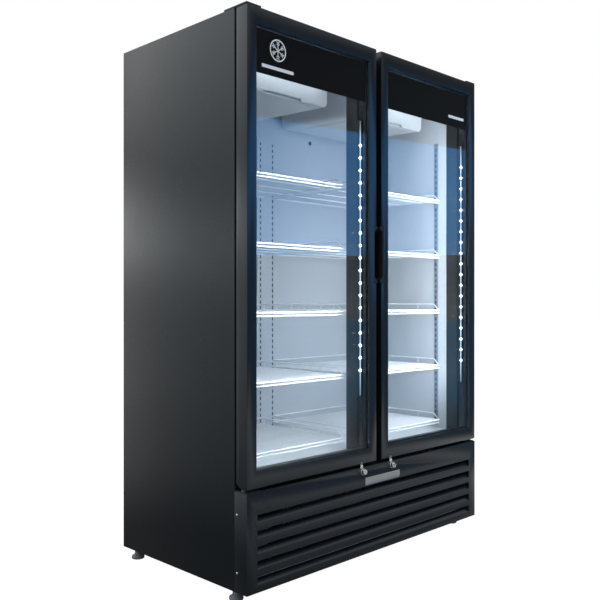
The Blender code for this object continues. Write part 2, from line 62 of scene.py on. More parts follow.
def lamp(name, place, target, size, power, colour):
    """A soft rectangular lamp that faces a target. The camera doesn't see it."""
    data = bpy.data.lights.new(name, "AREA")
    data.shape = "RECTANGLE"
    data.size, data.size_y = size
    data.energy = power
    data.color = colour
    made = bpy.data.objects.new(name, data)
    made.location = place
    made.rotation_euler = (Vector(target) - Vector(place)).to_track_quat("-Z", "Y").to_euler()
    made.visible_camera = False
    scene.collection.objects.link(made)
    return made


card_place, card_tilt = Vector((2.7, -2.8, 1.940)), math.radians(-2.6)
card_target = card_place + Vector((0.0, 2.8, 0.0))
blue_card = lamp("blue_card", card_place, card_target, (4.5, 1.07), 19.0, (0.08, 0.42, 1.0))
blue_card.rotation_euler.rotate(Euler((0.0, card_tilt, 0.0)))
key = lamp("key_softbox", (2.0, -3.6, 4.6), (0.3, -0.6, 0.6), (2.6, 2.0), 110.0, (0.96, 0.98, 1.0))
key.visible_glossy = False


class Socket:
    """A node's output, with arithmetic that adds Math nodes to its material."""

    def __init__(self, tree, output=None):
        self.tree = tree
        self.output = output

    def node(self, kind, settings=None, sockets=None, output=0):
        """Any node: its settings, then the values or links of its sockets."""
        made = self.tree.nodes.new(kind)
        for name, value in (settings or {}).items():
            if name == "stops":
                elements = made.color_ramp.elements
                while len(elements) < len(value):
                    elements.new(0.5)
                for element, (position, colour) in zip(elements, value):
                    element.position = position
                    element.color = colour
            else:
                setattr(made, name, value)
        for name, value in (sockets or {}).items():
            self.feed(made, name, value)
        return Socket(self.tree, made.outputs[output] if made.outputs else None)

    def feed(self, made, name, value):
        if isinstance(value, Socket):
            self.tree.links.new(value.output, made.inputs[name])
        else:
            made.inputs[name].default_value = value

    def math(self, operation, first, second):
        return self.node("ShaderNodeMath", {"operation": operation}, {0: first, 1: second})

    def __add__(self, other):
        return self.math("ADD", self, other)

    def __sub__(self, other):
        return self.math("SUBTRACT", self, other)

    def __rsub__(self, other):
        return self.math("SUBTRACT", other, self)

    def __pow__(self, other):
        return self.math("POWER", self, other)

    def __mul__(self, other):
        return self.math("MULTIPLY", self, other)

    __radd__ = __add__
    __rmul__ = __mul__


def grey(level):
    return (level, level, level, 1.0)


def blank_tree(holder):
    holder.use_nodes = True
    holder.node_tree.nodes.clear()
    return Socket(holder.node_tree)


def ramp(amount, *stops):
    """A grey value, or a colour, read off a line of stops as the amount goes from 0 to 1."""
    stops = [(at, level if isinstance(level, tuple) else grey(level)) for at, level in stops]
    return amount.node("ShaderNodeValToRGB", {"stops": stops}, {0: amount})


def by_bearing(tree, place, front, side):
    """One colour towards the front right of the cabinet, another towards its rear left."""
    parts = [tree.node("ShaderNodeSeparateXYZ", None, {0: place}, axis) for axis in (0, 1)]
    turn = ramp((parts[1] - parts[0]) * 0.25 + 0.5, (0.42, 0.0), (0.66, 1.0))
    return tree.node("ShaderNodeMix", {"data_type": "RGBA"}, {0: turn, 6: front, 7: side}, 2)


floor_finish = bpy.data.materials.new("studio_floor")
bare = blank_tree(floor_finish)
seen = bare.node("ShaderNodeLightPath")
pale = bare.node("ShaderNodeBsdfDiffuse", None, {"Color": grey(0.12)})
glow = bare.node("ShaderNodeEmission", None, {"Color": grey(0.99)})
lit = bare.node("ShaderNodeAddShader", None, {0: pale, 1: glow})
floor_place = bare.node("ShaderNodeTexCoord", output=3)
spread = bare.node("ShaderNodeVectorMath", {"operation": "LENGTH"}, {0: floor_place}, 1) * 0.1
far_blue = (0.05, 0.17, 0.32, 1.0)
front_floor = ramp(
    spread,
    (0.08, 0.22),
    (0.15, 0.50),
    (0.20, 0.90),
    (0.26, 0.24),
    (0.31, 0.06),
    (0.6, far_blue),
    (1.0, far_blue),
)
side_floor = ramp(spread, (0.10, 0.08), (0.18, 0.30), (0.50, 0.50), (1.0, 0.50))
mirrored_floor = by_bearing(bare, floor_place, front_floor, side_floor)
dim = bare.node("ShaderNodeEmission", None, {"Color": mirrored_floor})
shown = bare.node("ShaderNodeMixShader", None, {0: seen, 1: dim, 2: lit})
bare.node("ShaderNodeOutputMaterial", None, {"Surface": shown})

floor_shape = bmesh.new()
bmesh.ops.create_grid(floor_shape, x_segments=8, y_segments=8, size=30.0)
floor_mesh = bpy.data.meshes.new("studio_floor")
floor_shape.to_mesh(floor_mesh)
floor_shape.free()
floor_mesh.materials.append(floor_finish)
studio_floor = bpy.data.objects.new("studio_floor", floor_mesh)
scene.collection.objects.link(studio_floor)

surround = bpy.data.worlds.new("surround")
air = blank_tree(surround)
view = air.node("ShaderNodeTexCoord")
rise = air.node("ShaderNodeSeparateXYZ", None, {0: view}, 2) * 0.5 + 0.5
side_dome = ramp(
    rise,
    (0.49, 0.45),
    (0.525, 0.60),
    (0.552, 1.90),
    (0.585, 1.20),
    (0.62, 0.24),
    (0.66, 0.72),
    (0.8, 1.5),
)
front_dome = ramp(rise, (0.40, 0.20), (0.50, 0.16), (0.54, 0.10), (0.66, 0.05), (0.80, 0.60), (1.0, 1.0))
dome = by_bearing(air, view, front_dome, side_dome)
dome_light = air.node("ShaderNodeBackground", None, {"Color": dome, "Strength": 1.0})
white_light = air.node("ShaderNodeBackground", None, {"Color": grey(1.0), "Strength": 1.0})
around = air.node("ShaderNodeLightPath")
sky = air.node("ShaderNodeMixShader", None, {0: around, 1: dome_light, 2: white_light})
air.node("ShaderNodeOutputWorld", None, {"Surface": sky})
scene.world = surround


# Outer casing. Black powder-coated sheet steel: two side panels, a top and a galvanised back, with
# the fine pebble that powder leaves and soft folded edges.


def start_finish(name, colour, roughness, metallic=0.0):
    """A new material, its Principled node, and the piece's own coordinates to build on."""
    finish = bpy.data.materials.new(name)
    finish.use_nodes = True
    shader = finish.node_tree.nodes["Principled BSDF"]
    shader.inputs["Base Color"].default_value = (*colour, 1.0)
    shader.inputs["Roughness"].default_value = roughness
    shader.inputs["Metallic"].default_value = metallic
    place = Socket(finish.node_tree).node("ShaderNodeTexCoord", output=3)
    return finish, shader, place


def noise(place, scale, detail=2.0):
    """A noise value of 0 to 1 over the piece."""
    return place.node("ShaderNodeTexNoise", None, {"Vector": place, "Scale": scale, "Detail": detail})


def blend_colours(amount, low, high):
    """A colour that runs from low to high as the amount goes from 0 to 1."""
    return ramp(amount, (0.0, (*low, 1.0)), (1.0, (*high, 1.0)))


def bump(shader, height, distance, strength=1.0):
    sockets = {"Height": height, "Distance": distance, "Strength": strength}
    height.feed(shader, "Normal", height.node("ShaderNodeBump", None, sockets))


def coated_finish(name, low, high, rough, pebble=700.0, depth=0.00006, shine=0.6):
    """Powder coat or enamel: a faint cloudiness, a roughness that wanders, and a fine pebble."""
    finish, shader, place = start_finish(name, low, rough)
    shader.inputs["Specular Tint"].default_value = (0.86, 0.95, 1.0, 1.0)
    shader.inputs["Specular IOR Level"].default_value = shine
    cloud = noise(place, 3.5, 4.0)
    cloud.feed(shader, "Base Color", blend_colours(cloud, low, high))
    cloud.feed(shader, "Roughness", rough - 0.04 + 0.08 * noise(place, 9.0, 5.0))
    bump(shader, noise(place, pebble, 2.0), depth, 0.5)
    return finish


black_low, black_high = (0.0060, 0.0085, 0.0115), (0.0085, 0.0115, 0.0150)
powder_black = coated_finish("powder_black", black_low, black_high, 0.28)


def galvanised_finish():
    """Zinc on steel: pale crystals of slightly different shine."""
    finish, shader, place = start_finish("galvanised", (0.42, 0.43, 0.44), 0.42, 1.0)
    crystals = place.node("ShaderNodeTexVoronoi", None, {"Vector": place, "Scale": 70.0}, 1)
    spangle = place.node("ShaderNodeSeparateColor", None, {"Color": crystals})
    spangle.feed(shader, "Base Color", blend_colours(spangle, (0.34, 0.35, 0.36), (0.50, 0.51, 0.53)))
    spangle.feed(shader, "Roughness", 0.34 + 0.16 * spangle)
    return finish


galvanised = galvanised_finish()


def show(shape, name, finish, body, smooth=35.0):
    """Makes a bmesh a piece of the object, in the finish given, riding on a body."""
    mesh = bpy.data.meshes.new(name)
    shape.to_mesh(mesh)
    shape.free()
    mesh.materials.append(finish)
    mesh.shade_smooth()
    mesh.set_sharp_from_angle(angle=math.radians(smooth))
    made = bpy.data.objects.new(name, mesh)
    scene.collection.objects.link(made)
    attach(made, body)
    return made


def softened(node, finish, body, width, segments=2):
    """The node's own shape with its sharp edges rounded, standing for it."""
    shape = bmesh.new()
    shape.from_mesh(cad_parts[node].data)
    bmesh.ops.remove_doubles(shape, verts=shape.verts, dist=0.00002)
    bmesh.ops.dissolve_limit(shape, angle_limit=math.radians(1.0), verts=shape.verts, edges=shape.edges)
    sharp = [edge for edge in shape.edges if len(edge.link_faces) == 2 and edge.calc_face_angle() > 0.6]
    bmesh.ops.bevel(
        shape,
        geom=sharp,
        offset=width,
        segments=segments,
        profile=0.5,
        affect="EDGES",
        material=-1,
        clamp_overlap=True,
    )
    made = show(shape, f"{node}_finished", finish, body)
    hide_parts(node)
    return made


for side in ("left", "right"):
    softened(f"side_panel_{side}", powder_black, "cabinet", 0.0006)
softened("top_panel", powder_black, "cabinet", 0.0005)
softened("rear_panel", galvanised, "cabinet", 0.0005)


# Insulated box. Rigid foam between the casing and a white enamelled liner, closed at the mouth by a
# black moulded breaker frame and a post between the doors, where the gaskets seal.


def foam_finish():
    """Polyurethane foam: a fine open cell with a few larger ones."""
    finish, shader, place = start_finish("rigid_foam", (0.75, 0.66, 0.42), 0.9)
    cells = place.node("ShaderNodeTexVoronoi", None, {"Vector": place, "Scale": 900.0})
    cells.feed(shader, "Base Color", blend_colours(cells, (0.80, 0.70, 0.46), (0.66, 0.57, 0.35)))
    bump(shader, cells, 0.0004)
    return finish


def dress(node, finish):
    """A CAD node whose shape is right gets its finish."""
    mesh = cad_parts[node].data
    mesh.materials.clear()
    mesh.materials.append(finish)


enamel_low, enamel_high = (0.54, 0.57, 0.61), (0.60, 0.63, 0.67)
enamel_white = coated_finish("enamel_white", enamel_low, enamel_high, 0.42, 900.0, 0.00003)
moulded_low, moulded_high = (0.0075, 0.0080, 0.0090), (0.0115, 0.0120, 0.0130)
moulded_black = coated_finish("moulded_black", moulded_low, moulded_high, 0.46, 1300.0)
dress("insulation", foam_finish())
dress("inner_liner", enamel_white)
softened("face_frame", moulded_black, "cabinet", 0.0015)
softened("center_mullion", moulded_black, "cabinet", 0.0015)


def turn_profile(shape, profile, matrix, steps=32):
    """Spins a profile of (radius, height) points, from axis to axis, and puts it in place."""
    before = set(shape.verts)
    ring = [shape.verts.new((radius, 0.0, height)) for radius, height in profile]
    edges = [shape.edges.new(pair) for pair in zip(ring, ring[1:])]
    bmesh.ops.spin(
        shape,
        geom=ring + edges,
        cent=(0.0, 0.0, 0.0),
        axis=(0.0, 0.0, 1.0),
        angle=math.tau,
        steps=steps,
        use_merge=True,
    )
    bmesh.ops.remove_doubles(shape, verts=list(set(shape.verts) - before), dist=0.000001)
    turned = list(set(shape.verts) - before)
    faces = {face for vert in turned for face in vert.link_faces}
    bmesh.ops.recalc_face_normals(shape, faces=list(faces))
    bmesh.ops.transform(shape, matrix=matrix, verts=turned)


def facing(direction, place):
    """A matrix that turns +Z towards a direction and moves the origin to a place."""
    turn = Vector((0.0, 0.0, 1.0)).rotation_difference(Vector(direction)).to_matrix().to_4x4()
    return Matrix.Translation(Vector(place)) @ turn


liner_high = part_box("inner_liner")[1]
cabin_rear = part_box("pilaster_rear_center")[1].y
port = bmesh.new()
port_x, port_drop = 0.294, 0.173
port_place = (port_x, cabin_rear - 0.0002, liner_high.z - port_drop)
port_outer, port_inner = 0.0095, 0.0062
port_profile = [
    (0.0, 0.0),
    (port_outer, 0.0),
    (port_outer, 0.0016),
    (0.0080, 0.0024),
    (port_inner, 0.0018),
    (port_inner, 0.0006),
    (0.0, 0.0006),
]
turn_profile(port, port_profile, facing((0, -1, 0), port_place), 24)
show(port, "drain_port", moulded_black, "cabinet")


# Shelf pilasters. Folded steel strips punched with a ladder of slots for the shelf clips, riveted to
# the side walls and up the middle of the back wall. The side strips are coloured a dark blue-grey,
# the middle one white enamel.


def add_block(shape, low, high):
    """Adds a box between two corners to a bmesh."""
    low, high = Vector(low), Vector(high)
    matrix = Matrix.Translation((low + high) / 2) @ Matrix.Diagonal((*(high - low), 1.0))
    return bmesh.ops.create_cube(shape, size=1.0, matrix=matrix)["verts"]


pilaster_grey = coated_finish("pilaster_grey", (0.20, 0.23, 0.28), (0.26, 0.29, 0.34), 0.40, 900.0, 0.00003)


def slotted_strip(name, across, outward, low_corner, width, depth, height, columns, node, finish):
    """A channel with columns of slots, drawn from its lower corner along across and up, facing outward,
    with a black plate behind the slots as painted shade.
    """
    pitch, slot_height, slot_width, sheet = 0.0254, 0.0150, 0.0075, 0.0012
    column_offset, end_margin, clearance = 0.037, 0.020, 0.0002
    rows = int((height - end_margin) / pitch)
    margin = (height - rows * pitch + pitch - slot_height) / 2
    shape = bmesh.new()
    bmesh.ops.create_grid(shape, x_segments=2 * columns + 1, y_segments=2 * rows + 1, size=0.5)
    middle = width / 2
    centres = [middle] if columns == 1 else [middle - column_offset, middle + column_offset]
    a_lines = [0.0] + [centre + s * slot_width / 2 for centre in centres for s in (-1, 1)] + [width]
    b_lines = [0.0] + [margin + pitch * r + s for r in range(rows) for s in (0.0, slot_height)] + [height]
    cells = (2 * columns + 1, 2 * rows + 1)

    def cell(point):
        return int((point.x + 0.5) * cells[0]), int((point.y + 0.5) * cells[1])

    slots = [face for face in shape.faces if all(index % 2 for index in cell(face.calc_center_median()))]
    for vert in shape.verts:
        column, row = round((vert.co.x + 0.5) * cells[0]), round((vert.co.y + 0.5) * cells[1])
        vert.co = (a_lines[column], b_lines[row], depth)
    bmesh.ops.delete(shape, geom=slots, context="FACES")
    borders = (a_lines[0], a_lines[-1])
    open_edges = [edge for edge in shape.edges if edge.is_boundary]
    sides = [edge for edge in open_edges if all(vert.co.x in borders for vert in edge.verts)]
    sides = [edge for edge in sides if abs(edge.verts[0].co.x - edge.verts[1].co.x) < 1e-9]
    flange = bmesh.ops.extrude_edge_only(shape, edges=sides)["geom"]
    flange = [item for item in flange if isinstance(item, bmesh.types.BMVert)]
    bmesh.ops.translate(shape, vec=(0.0, 0.0, -depth + 0.0001), verts=flange)
    bmesh.ops.recalc_face_normals(shape, faces=shape.faces)
    bmesh.ops.solidify(shape, geom=shape.faces, thickness=sheet)
    across, outward = Vector(across), Vector(outward)
    matrix = Matrix((across, (0, 0, 1), outward)).transposed().to_4x4()
    inward = Vector(low_corner)
    bmesh.ops.transform(shape, matrix=Matrix.Translation(inward) @ matrix, verts=shape.verts)
    bmesh.ops.recalc_face_normals(shape, faces=shape.faces)
    made = show(shape, name, finish, "cabinet")
    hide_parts(node)
    # Painted shade: a black plate just behind the slots stands for the shade inside the channel, so each
    # slot reads dark.
    painted_slot_shade = bmesh.new()
    painted_slot_shade_low = (sheet, margin, clearance)
    add_block(painted_slot_shade, painted_slot_shade_low, (width - sheet, height - margin, clearance + 0.001))
    bmesh.ops.transform(painted_slot_shade, matrix=Matrix.Translation(inward) @ matrix, verts=painted_slot_shade.verts)
    bmesh.ops.recalc_face_normals(painted_slot_shade, faces=painted_slot_shade.faces)
    show(painted_slot_shade, f"{name}_backing", moulded_black, "cabinet")


for side, sign in (("left", -1), ("right", 1)):
    for end in ("front", "rear"):
        node = f"pilaster_{side}_{end}"
        low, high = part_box(node)
        wall_x = low.x if sign < 0 else high.x
        corner = (wall_x, low.y, low.z)
        size = (high.y - low.y, high.x - low.x, high.z - low.z)
        slotted_strip(f"{node}_strip", (0, 1, 0), (-sign, 0, 0), corner, *size, 1, node, pilaster_grey)
low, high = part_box("pilaster_rear_center")
size = (high.x - low.x, high.y - low.y, high.z - low.z)
corner = (low.x, high.y, low.z)
slotted_strip("center_strip", (1, 0, 0), (0, -1, 0), corner, *size, 2, "pilaster_rear_center", enamel_white)


# Shelves. Steel wire, resistance-welded and dipped in white epoxy: a close deck of thin wires on
# thicker cross wires, a doubled front edge that the deck wires turn down over, and a raised guard.
# Folded zinc clips hooked into the side pilasters hold each one.

wire_white = coated_finish("wire_white", (0.86, 0.88, 0.91), (0.92, 0.94, 0.96), 0.30, 500.0)


def wires(name, routes, finish, body):
    """Round wires: each route is (radius, points), made one mesh."""
    data = bpy.data.curves.new(name, "CURVE")
    data.dimensions = "3D"
    data.bevel_depth = 1.0
    data.bevel_resolution = 2
    data.use_fill_caps = True
    for radius, points in routes:
        spline = data.splines.new("POLY")
        spline.points.add(len(points) - 1)
        for target, point in zip(spline.points, points):
            target.co = (*point, 1.0)
            target.radius = radius
    holder = bpy.data.objects.new(name, data)
    scene.collection.objects.link(holder)
    graph = bpy.context.evaluated_depsgraph_get()
    mesh = bpy.data.meshes.new_from_object(holder.evaluated_get(graph))
    bpy.data.objects.remove(holder)
    shape = bmesh.new()
    shape.from_mesh(mesh)
    bmesh.ops.remove_doubles(shape, verts=shape.verts, dist=0.00001)
    bmesh.ops.recalc_face_normals(shape, faces=shape.faces)
    return show(shape, name, finish, body, 50.0)


thin, thick = 0.0015, 0.0027
guard_height = 0.028
deck_wires, cross_wires, guard_posts = 46, 4, 3
side_margin, front_margin, rear_margin, post_margin = 0.004, 0.10, 0.02, 0.12


def wire_shelf(node):
    """Deck wires, cross wires, front edge and guard, within the shelf's own box."""
    low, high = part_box(node)
    deck = high.z - guard_height
    front, rear = low.y + thick, high.y - thick
    left, right = low.x + thick, high.x - thick
    top = high.z - thick
    deck_z = deck - thin
    under_z = deck_z - thin - thick
    lip_z = low.z + thick
    routes = []
    deck_width = right - left - 2 * side_margin
    for index in range(deck_wires):
        x = left + side_margin + deck_width * index / (deck_wires - 1)
        y = front + thick + thin
        bend = [(x, y, lip_z), (x, y, deck_z - 0.003), (x, y + 0.003, deck_z)]
        routes.append((thin, [*bend, (x, rear, deck_z)]))
    cross_run = rear - rear_margin - front - front_margin
    for step in range(cross_wires):
        y = front + front_margin + cross_run * step / (cross_wires - 1)
        routes.append((thick, [(left, y, under_z), (right, y, under_z)]))
    for z in (lip_z, under_z + thick):
        routes.append((thick, [(left, front, z), (right, front, z)]))
    post_run = rear - rear_margin - front - post_margin
    for x in (left, right):
        routes.append((thick, [(x, front, under_z + thick), (x, rear, under_z + thick)]))
        for step in range(guard_posts):
            y = front + post_margin + post_run * step / (guard_posts - 1)
            routes.append((thin, [(x, y, under_z), (x, y, top)]))
    rise = top - under_z
    guard = [(left, front, under_z + thick), (left, front + rise, top), (left, rear, top)]
    guard += [(right, rear, top), (right, front + rise, top), (right, front, under_z + thick)]
    routes.append((thick, guard))
    routes.append((thick, [(left, rear, under_z + thick), (right, rear, under_z + thick)]))
    made = wires(f"{node}_wires", routes, wire_white, "cabinet")
    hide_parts(node)


for side in ("left", "right"):
    for level in range(1, 6):
        wire_shelf(f"shelf_{side}_{level}")

clip_sheet, clip_width, clip_drop, clip_reach = 0.0014, 0.0140, 0.0220, 0.0110
clips = bmesh.new()
for side, sign in (("left", -1), ("right", 1)):
    for level in range(1, 6):
        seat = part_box(f"shelf_{side}_{level}")[1].z - guard_height - 2 * thin - 2 * thick
        for end in ("front", "rear"):
            strip_low, strip_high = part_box(f"pilaster_{side}_{end}")
            face_x = strip_high.x if sign < 0 else strip_low.x
            y = (strip_low.y + strip_high.y) / 2 - clip_width / 2
            for reach, drop in ((clip_sheet, clip_drop), (clip_reach, clip_sheet)):
                near, far = sorted((face_x, face_x - sign * reach))
                add_block(clips, (near, y, seat - drop), (far, y + clip_width, seat - 0.0002))
show(clips, "shelf_clips", galvanised, "cabinet")


# Evaporators. Under the ceiling on each side hangs a white enamelled housing with rounded lower
# corners and a drip tray screwed under it. A finned coil and a fan in the outer end are inside.

for side in ("left", "right"):
    softened(f"evaporator_housing_{side}", enamel_white, "cabinet", 0.0008, 1)

tray_margin, tray_sheet, underside_rise = 0.067, 0.0016, 0.012
tray_front, tray_rear = 0.018, 0.020
screw_inset, middle_screw = 0.014, 0.180
tray_screw = [(0.0, 0.0), (0.0042, 0.0), (0.0036, 0.0014), (0.0018, 0.0020), (0.0, 0.0020)]
for side in ("left", "right"):
    low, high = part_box(f"evaporator_housing_{side}")
    tray = bmesh.new()
    tray_low = Vector((low.x + tray_margin, low.y + tray_front, low.z - tray_sheet))
    tray_high = Vector((high.x - tray_margin, high.y - tray_rear, low.z - 0.0003))
    rows = (tray_low.y + screw_inset, tray_high.y - middle_screw, tray_high.y - screw_inset)
    add_block(tray, tray_low, tray_high)
    tray_screws = bmesh.new()
    for x in (tray_low.x + 0.012, tray_high.x - 0.012):
        for y in rows:
            turn_profile(tray_screws, tray_screw, facing((0, 0, -1), (x, y, tray_low.z)), 16)
    for shape in (tray, tray_screws):
        for vert in shape.verts:
            vert.co.z += underside_rise * (vert.co.y - low.y) / (high.y - low.y)
    show(tray, f"drip_tray_{side}", enamel_white, "cabinet")
    show(tray_screws, f"drip_tray_screws_{side}", galvanised, "cabinet")


def fin_finish():
    """Mill aluminium, brushed along the fins."""
    finish, shader, place = start_finish("fin_aluminium", (0.70, 0.71, 0.72), 0.36, 1.0)
    streak = noise(place, 60.0, 3.0)
    streak.feed(shader, "Roughness", 0.28 + 0.18 * streak)
    streak.feed(shader, "Base Color", blend_colours(streak, (0.62, 0.63, 0.65), (0.76, 0.77, 0.78)))
    return finish


def copper_finish():
    """Drawn copper tube, a little dulled."""
    finish, shader, place = start_finish("copper_tube", (0.72, 0.36, 0.22), 0.3, 1.0)
    dull = noise(place, 40.0, 4.0)
    dull.feed(shader, "Base Color", blend_colours(dull, (0.55, 0.27, 0.17), (0.80, 0.42, 0.27)))
    dull.feed(shader, "Roughness", 0.22 + 0.25 * dull)
    return finish


fin_aluminium = fin_finish()
copper = copper_finish()


def finned_coil(node):
    """Thin fins across the width between two end plates, with the tube's bends showing at the ends."""
    low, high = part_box(node)
    plate, fin, pitch = 0.0015, 0.0004, 0.0055
    bend = 0.010
    inner_low, inner_high = low.x + bend, high.x - bend
    shape = bmesh.new()
    for x in (inner_low, inner_high - plate):
        add_block(shape, (x, low.y, low.z), (x + plate, high.y, high.z))
    count = int((inner_high - inner_low - 2 * plate) / pitch)
    for index in range(1, count):
        x = inner_low + plate + pitch * index
        add_block(shape, (x, low.y + 0.001, low.z + 0.001), (x + fin, high.y - 0.001, high.z - 0.001))
    made = show(shape, f"{node}_fins", fin_aluminium, "cabinet")
    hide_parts(node)
    radius, row_pitch, first_row, corner = 0.0045, 0.028, 0.016, 0.006
    rows = int((high.z - low.z - 0.02) / row_pitch)
    routes = []
    for y in (low.y + 0.3 * (high.y - low.y), low.y + 0.7 * (high.y - low.y)):
        for row in range(rows):
            z = low.z + first_row + row_pitch * row
            end = high.x - radius - 0.001 if row % 2 else low.x + radius + 0.001
            routes.append((radius, [(inner_low - 0.002, y, z), (inner_high + 0.002, y, z)]))
            if row + 1 < rows:
                start = inner_high if row % 2 else inner_low
                next_z = z + row_pitch
                middle = [(end, y, z + corner), (end, y, next_z - corner)]
                routes.append((radius, [(start, y, z), *middle, (start, y, next_z)]))
    wires(f"{node}_tube", routes, copper, "cabinet")


def pitched_fan(node, finish, count, direction):
    """A moulded rotor: a domed hub and twisted blades."""
    low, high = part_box(node)
    middle = (low + high) / 2
    axis = Vector(direction)
    span = [high[i] - low[i] for i in range(3) if abs(axis[i]) < 0.5]
    reach = min(span) / 2 - 0.002
    half = sum((high[i] - low[i]) * abs(axis[i]) for i in range(3)) / 2
    hub = reach * 0.28
    root = hub * 0.9
    back, shoulder = 0.002 - half, half - 0.006
    shape = bmesh.new()
    profile = [(0.0, back), (hub * 0.96, back), (hub, back + 0.002), (hub, shoulder)]
    profile += [(hub * math.cos(a), shoulder + 0.005 * math.sin(a)) for a in (0.5, 0.9, 1.25)]
    profile.append((0.0, half - 0.001))
    turn_profile(shape, profile, Matrix.Identity(4), 28)
    for index in range(count):
        before = set(shape.verts)
        blade = bmesh.ops.create_grid(shape, x_segments=6, y_segments=4, size=0.5)["verts"]
        for vert in blade:
            share = vert.co.x + 0.5
            out = root + share * (reach - root)
            chord = vert.co.y * (0.42 + 0.28 * share) * reach
            lift = chord * math.tan(math.radians(30.0 - 10.0 * share)) * 0.55
            vert.co = (math.sqrt(max(out * out - chord * chord, 0.0)), chord, lift)
        faces = list({face for vert in blade for face in vert.link_faces})
        bmesh.ops.solidify(shape, geom=faces, thickness=0.0016)
        turn = Matrix.Rotation(math.tau * index / count, 4, "Z")
        bmesh.ops.transform(shape, matrix=turn, verts=list(set(shape.verts) - before))
    bmesh.ops.transform(shape, matrix=facing(direction, middle), verts=shape.verts)
    made = show(shape, f"{node}_rotor", finish, node)
    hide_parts(node)


for side in ("left", "right"):
    finned_coil(f"evaporator_coil_{side}")
    pitched_fan(f"evaporator_fan_{side}", moulded_black, 4, (1, 0, 0))


# Machine base. A galvanised pan carries the condensing unit: a black hermetic compressor, a finned
# condenser with its fan in a pressed shroud, and a steel box for the controls.

softened("base_pan", galvanised, "cabinet", 0.0006, 1)
softened("compressor", powder_black, "cabinet", 0.001)
softened("condenser_shroud", powder_black, "cabinet", 0.0007, 1)
softened("control_box", galvanised, "cabinet", 0.002)
finned_coil("condenser_coil")
pitched_fan("condenser_fan", fin_aluminium, 5, (0, 1, 0))

pump_low, pump_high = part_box("compressor")
pump = (pump_low + pump_high) / 2
coil_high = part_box("condenser_coil")[1]
pipe, pipe_bend = 0.0045, 0.028


def arc_points(points, steps=6):
    """A smooth pipe route through its corner points, each corner rounded."""
    route = [Vector(points[0])]
    for before, corner, after in zip(points, points[1:], points[2:]):
        corner = Vector(corner)
        start = corner + (Vector(before) - corner).normalized() * pipe_bend
        end = corner + (Vector(after) - corner).normalized() * pipe_bend
        for step in range(steps + 1):
            t = step / steps
            route.append(start * (1 - t) ** 2 + corner * 2 * t * (1 - t) + end * t * t)
    route.append(Vector(points[-1]))
    return [tuple(point) for point in route]


pipe_top = pump_high.z + 0.04
drop_x = coil_high.x + 0.03
inlet_y, inlet_z = coil_high.y - 0.03, coil_high.z - 0.03
discharge = [
    (pump.x - 0.05, pump.y, pump_high.z - 0.03),
    (pump.x - 0.05, pump.y, pipe_top),
    (drop_x, pump.y, pipe_top),
    (drop_x, coil_high.y, pipe_top),
    (drop_x, inlet_y, inlet_z),
    (coil_high.x - 0.008, inlet_y, inlet_z),
]
return_x, return_top = pump.x + 0.05, pump_high.z + 0.06
suction = [
    (return_x, pump.y + 0.02, pump_high.z - 0.03),
    (return_x, pump.y + 0.02, return_top),
    (return_x, pump.y + 0.15, return_top),
    (return_x, pump.y + 0.15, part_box("insulation")[0].z - 0.001),
]
routes = [(pipe, arc_points(discharge)), (pipe, arc_points(suction))]
wires("refrigerant_pipes", routes, copper, "cabinet")


# Levelling feet. Moulded grey bases on zinc studs that screw into the base pan.

foot_grey = coated_finish("foot_grey", (0.16, 0.18, 0.21), (0.21, 0.23, 0.26), 0.42, 900.0)
for side in ("left", "right"):
    for end in ("front", "rear"):
        name = f"foot_{side}_{end}"
        softened(name, foot_grey, name, 0.0006)


# Louvred base front. Folded black steel: each slot's lower edge runs back and up as a blade. It is
# screwed to the cabinet through its side returns and top flange, and carries a plain silver plate.

softened("front_grille", powder_black, "cabinet", 0.0006, 2)


def bright_finish(name, colour, rough, spread):
    """Plated or polished metal with faint wipe marks."""
    finish, shader, place = start_finish(name, colour, rough, 1.0)
    marks = noise(place, 120.0, 5.0)
    marks.feed(shader, "Roughness", rough + spread * marks)
    return finish


chrome = bright_finish("chrome_plate", (0.78, 0.80, 0.83), 0.08, 0.10)
silver = bright_finish("silver_plate", (0.52, 0.54, 0.55), 0.30, 0.16)
silver_edge = bright_finish("silver_edge", (0.80, 0.82, 0.84), 0.18, 0.10)
grille_low, grille_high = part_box("front_grille")


def pan_head(shape, place, direction, radius=0.0042):
    """A pan-head screw standing on a face."""
    height = radius * 0.45
    profile = [
        (0.0, 0.0),
        (radius, 0.0),
        (radius, height * 0.35),
        (radius * 0.82, height * 0.8),
        (radius * 0.45, height),
        (0.0, height),
    ]
    turn_profile(shape, profile, facing(direction, place), 20)


return_screw_heights, return_screw_depth = (0.260, 0.065), 0.050
top_screw_x, top_screw_depth = 0.368, 0.020
screws = bmesh.new()
for sign, edge in ((-1, grille_low.x), (1, grille_high.x)):
    for up in return_screw_heights:
        pan_head(screws, (edge, grille_low.y + return_screw_depth, grille_low.z + up), (sign, 0, 0))
top_screw_place = (top_screw_x, grille_low.y + top_screw_depth, grille_high.z)
pan_head(screws, top_screw_place, (0, 0, 1), 0.006)
show(screws, "base_screws", chrome, "cabinet")

plate_left, plate_right = -0.0835, 0.1280
plate_bottom, plate_top = grille_low.z + 0.265, grille_low.z + 0.294
plate_border, plate_recess = 0.0030, 0.0007
plate_low = Vector((plate_left, grille_low.y - 0.0018, plate_bottom))
plate_high = Vector((plate_right, grille_low.y - 0.0002, plate_top))
badge = bmesh.new()
add_block(badge, plate_low, plate_high)
face = min(badge.faces, key=lambda f: f.calc_center_median().y)
bmesh.ops.inset_individual(badge, faces=[face], thickness=plate_border)
bmesh.ops.translate(badge, vec=(0.0, plate_recess, 0.0), verts=face.verts)
field = badge.faces[:].index(face)
badge_piece = show(badge, "badge_plate", silver_edge, "cabinet")
badge_piece.data.materials.append(silver)
badge_piece.data.polygons[field].material_index = 1


# Locks. A chrome-plated barrel turns in the base's top band below each door's tab, in a bright rim.

